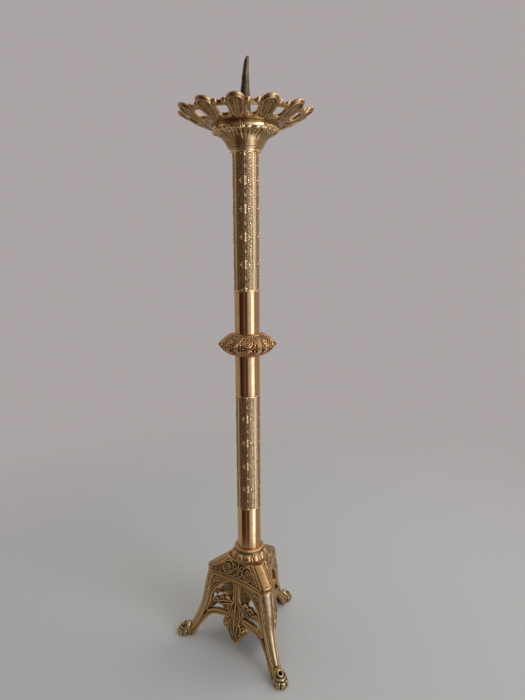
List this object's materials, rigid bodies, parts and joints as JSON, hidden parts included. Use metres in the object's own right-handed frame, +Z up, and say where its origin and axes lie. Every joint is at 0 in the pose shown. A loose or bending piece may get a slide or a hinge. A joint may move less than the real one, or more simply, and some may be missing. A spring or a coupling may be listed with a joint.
{
  "type": "pricket candlestick",
  "caption": "Tall single-light altar pricket candlestick: three-legged pierced base, tubular stem with knop, flared capital, pierced drip pan and screwed spike.",
  "frame": {"origin": "on the floor plane, on the axis of the stem (centre of the circle through the three foot holes)", "axes": "+Z up along the stem; the left leg points to -X, the other two to +60 and -60 degrees from +X; one base panel faces +X"},
  "size_m": [0.175, 0.1748, 0.721],
  "materials": {
    "cast_brass": "aged satin cast brass, dark patina in the recesses",
    "polished_brass": "polished brass tube, lightly tarnished",
    "engraved_brass": "engraved brass sleeve, dark matted ground",
    "spike_brass": "dull stained brass",
    "steel": "plain mild steel, lightly oxidised"
  },
  "bodies": {
    "stand": {"leg_left": "cast_brass", "leg_back": "cast_brass", "leg_right": "cast_brass", "panel_front": "cast_brass", "panel_right": "cast_brass", "panel_back": "cast_brass", "shoulder_cap": "cast_brass", "lotus_collar": "cast_brass", "knop_lower": "cast_brass", "knop_upper": "cast_brass", "neck_ring": "cast_brass", "capital": "cast_brass", "tube_bottom": "polished_brass", "tube_mid_lower": "polished_brass", "tube_mid_upper": "polished_brass", "seat_ring": "polished_brass", "tube_lower_engraved": "engraved_brass", "tube_upper_engraved": "engraved_brass", "joint_pins": "steel", "clamp_plate": "steel", "clamp_screws": "steel", "bottom_washer": "steel", "bottom_nut": "steel", "tie_rod": "steel", "top_washer": "steel", "top_nut": "steel", "ferrule_1": "polished_brass", "ferrule_2": "polished_brass", "ferrule_3": "polished_brass", "ferrule_4": "polished_brass", "ferrule_5": "polished_brass", "ferrule_6": "polished_brass"},
    "pricket_washer": {"pricket_washer": "steel"},
    "pricket": {"pricket": "spike_brass"},
    "drip_pan": {"drip_pan": "cast_brass"}
  },
  "joints": [
    {"name": "pricket_rise", "type": "slide", "parent": "stand", "child": "pricket_washer", "axis": [0, 0, 1], "range_m": [0, 0.01]},
    {"name": "pricket_turn", "type": "hinge", "parent": "pricket_washer", "child": "pricket", "pos_m": [0, 0, 0.6503], "axis": [0, 0, 1], "range_deg": [0, 2880]},
    {"name": "pan_lift", "type": "slide", "parent": "pricket_washer", "child": "drip_pan", "axis": [0, 0, 1], "range_m": [0, 0.08]}
  ],
  "couplings": [
    {"joint": "pricket_turn", "follows": "pricket_rise", "rad_per_m": 5026.5}
  ]
}
